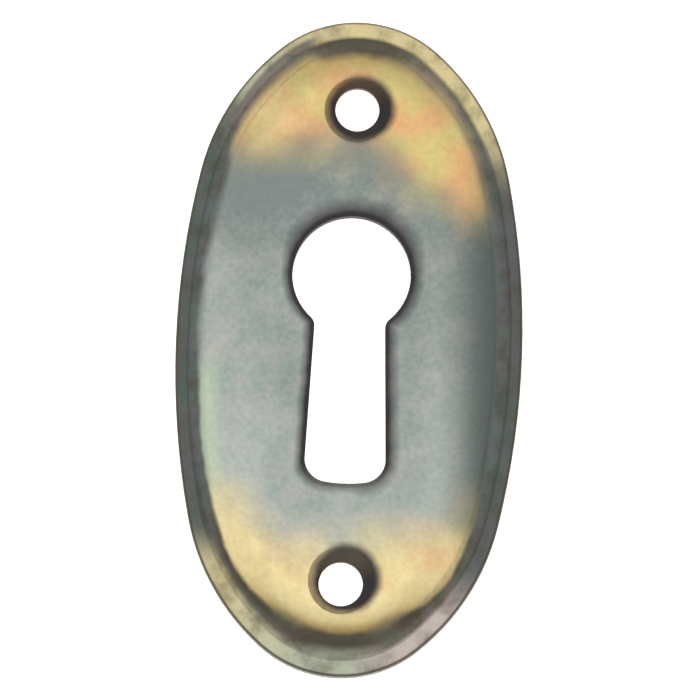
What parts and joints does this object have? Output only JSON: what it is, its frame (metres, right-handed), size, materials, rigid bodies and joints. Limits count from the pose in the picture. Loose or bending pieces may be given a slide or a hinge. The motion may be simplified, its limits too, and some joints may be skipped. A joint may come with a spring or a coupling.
{
  "type": "keyhole escutcheon",
  "caption": "Oval pressed-brass keyhole plate for a cabinet or drawer lock: domed face, stepped flat rim, flared keyhole and countersunk screw holes.",
  "frame": {"origin": "centre of the oval, in the plane of the rim's back, where the plate meets the wood", "axes": "+Y along the plate, from the slot towards the keyhole's head; +Z out of the front; +X to the right seen from the front"},
  "size_m": [0.022, 0.042, 0.0029],
  "materials": {
    "escutcheon_plate": "antiqued brass: grey patina over the middle, worn gold at both ends, dark in the step and the holes"
  },
  "bodies": {
    "root": {"escutcheon_plate": "escutcheon_plate"}
  },
  "joints": []
}
